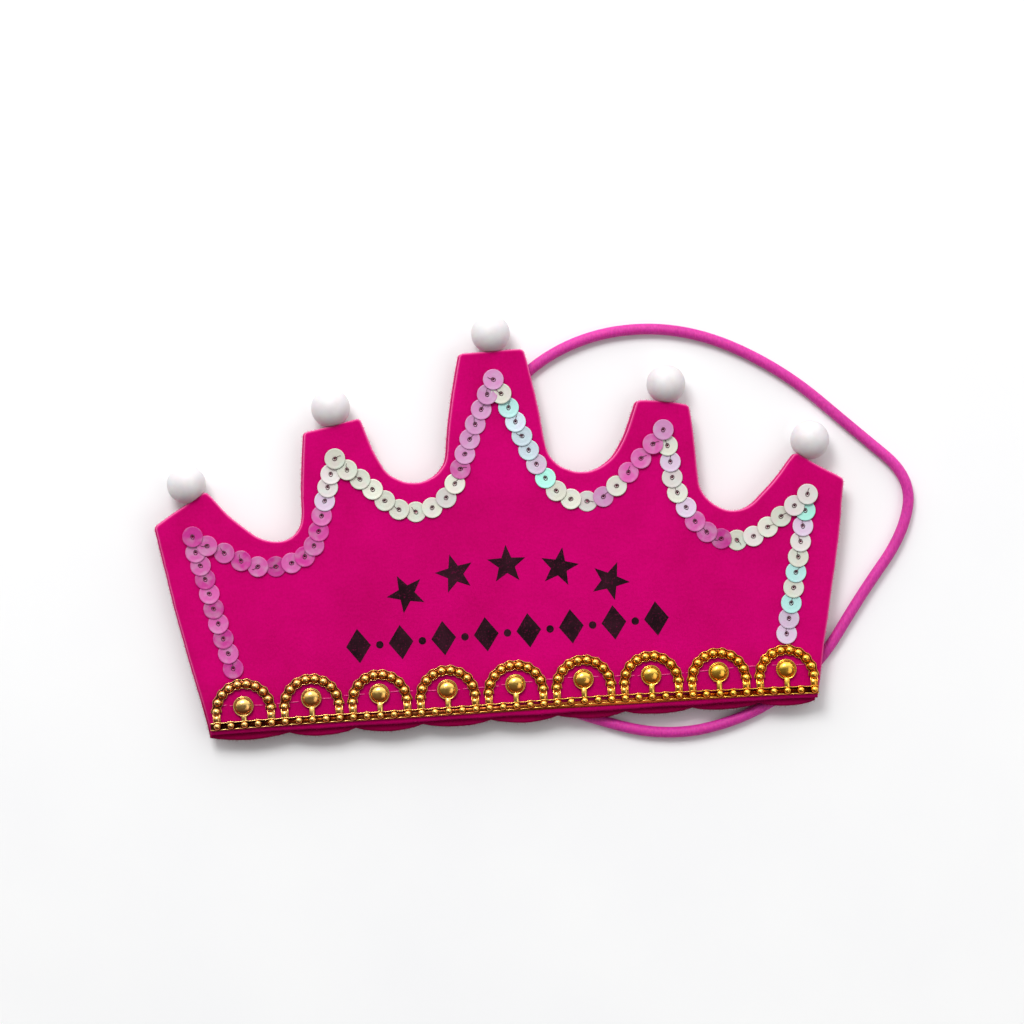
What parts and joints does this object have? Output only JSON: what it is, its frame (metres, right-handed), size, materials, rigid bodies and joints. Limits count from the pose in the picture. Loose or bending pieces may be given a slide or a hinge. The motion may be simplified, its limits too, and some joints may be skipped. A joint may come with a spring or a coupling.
{
  "type": "felt party crown",
  "caption": "Flat felt party crown with blunt points, a frosted ball on each point, zigzag sequin strands, a gold bead scallop trim along the base and a loose elastic cord behind.",
  "frame": {"origin": "bottom centre of the crown without its elastic cord, as it lies on its back", "axes": "+X to the viewer's right along the base, +Y from the base up to the centre point, +Z out of the decorated face"},
  "size_m": [0.2203, 0.1264, 0.0113],
  "materials": {
    "felt_front": "matte felt with a fine fuzz",
    "felt_back": "matte felt",
    "gold_beads": "metallised gold, glossy",
    "frosted_ball": "frosted white",
    "sequin_film": "pearl, iridescent",
    "elastic": "matte, slightly translucent"
  },
  "bodies": {
    "root": {"front_panel": "felt_front", "back_panel": "felt_back", "gold_trim": "gold_beads", "ball_left_outer": "frosted_ball", "ball_left_middle": "frosted_ball", "ball_centre": "frosted_ball", "ball_right_middle": "frosted_ball", "ball_right_outer": "frosted_ball", "sequins_left_side": "sequin_film", "sequins_right_side": "sequin_film", "sequins_left_outer": "sequin_film", "sequins_right_outer": "sequin_film", "sequins_left_inner": "sequin_film", "sequins_right_inner": "sequin_film", "elastic_cord": "elastic", "elastic_stay_left": "felt_back", "elastic_stay_right": "felt_back"}
  },
  "joints": []
}
